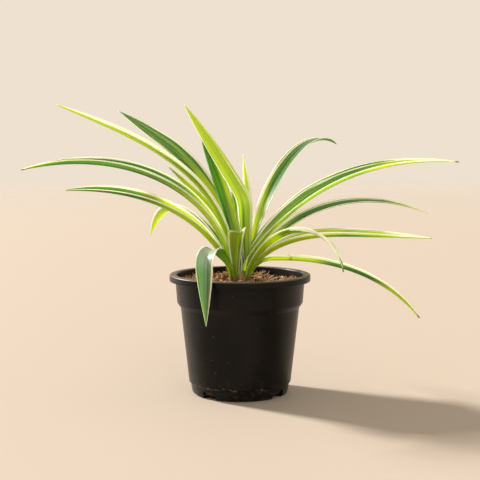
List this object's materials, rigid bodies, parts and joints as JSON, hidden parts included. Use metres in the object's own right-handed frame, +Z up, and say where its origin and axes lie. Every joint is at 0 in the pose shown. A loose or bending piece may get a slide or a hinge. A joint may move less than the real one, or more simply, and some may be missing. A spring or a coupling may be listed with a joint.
{
  "type": "potted spider plant",
  "caption": "Spider plant with long, arching, striped leaves that spring from one short crown, in coarse potting mix in a tapered black nursery pot.",
  "frame": {"origin": "on the pot's axis, at its underside, which rests on the table", "axes": "+Z is up; +X is to the right of someone who faces the plant; +Y points away from them"},
  "size_m": [0.3841, 0.2285, 0.2469],
  "materials": {
    "black_plastic": "black moulded plastic with a slight gloss and dust on it",
    "potting_mix": "coarse, dull mix of brown bark chips and coconut fibre",
    "leaf_sheath": "smooth olive green, brown at the mix",
    "striped_leaf": "smooth and waxy, striped green with cream margins, lets light through"
  },
  "bodies": {
    "root": {"pot": "black_plastic", "potting_mix": "potting_mix", "crown": "leaf_sheath", "leaf_heart": "striped_leaf", "leaf_back_tall": "striped_leaf", "leaf_back_left_inner": "striped_leaf", "leaf_back_left_arch": "striped_leaf", "leaf_left_high": "striped_leaf", "leaf_left_short": "striped_leaf", "leaf_left_long": "striped_leaf", "leaf_left_low": "striped_leaf", "leaf_back_left_droop": "striped_leaf", "leaf_back_middle": "striped_leaf", "leaf_back_low": "striped_leaf", "leaf_front_left_fold": "striped_leaf", "leaf_front": "striped_leaf", "leaf_back_right_arch": "striped_leaf", "leaf_right_long": "striped_leaf", "leaf_right_middle": "striped_leaf", "leaf_front_right_hook": "striped_leaf", "leaf_right_level": "striped_leaf", "leaf_right_droop": "striped_leaf"}
  },
  "joints": []
}
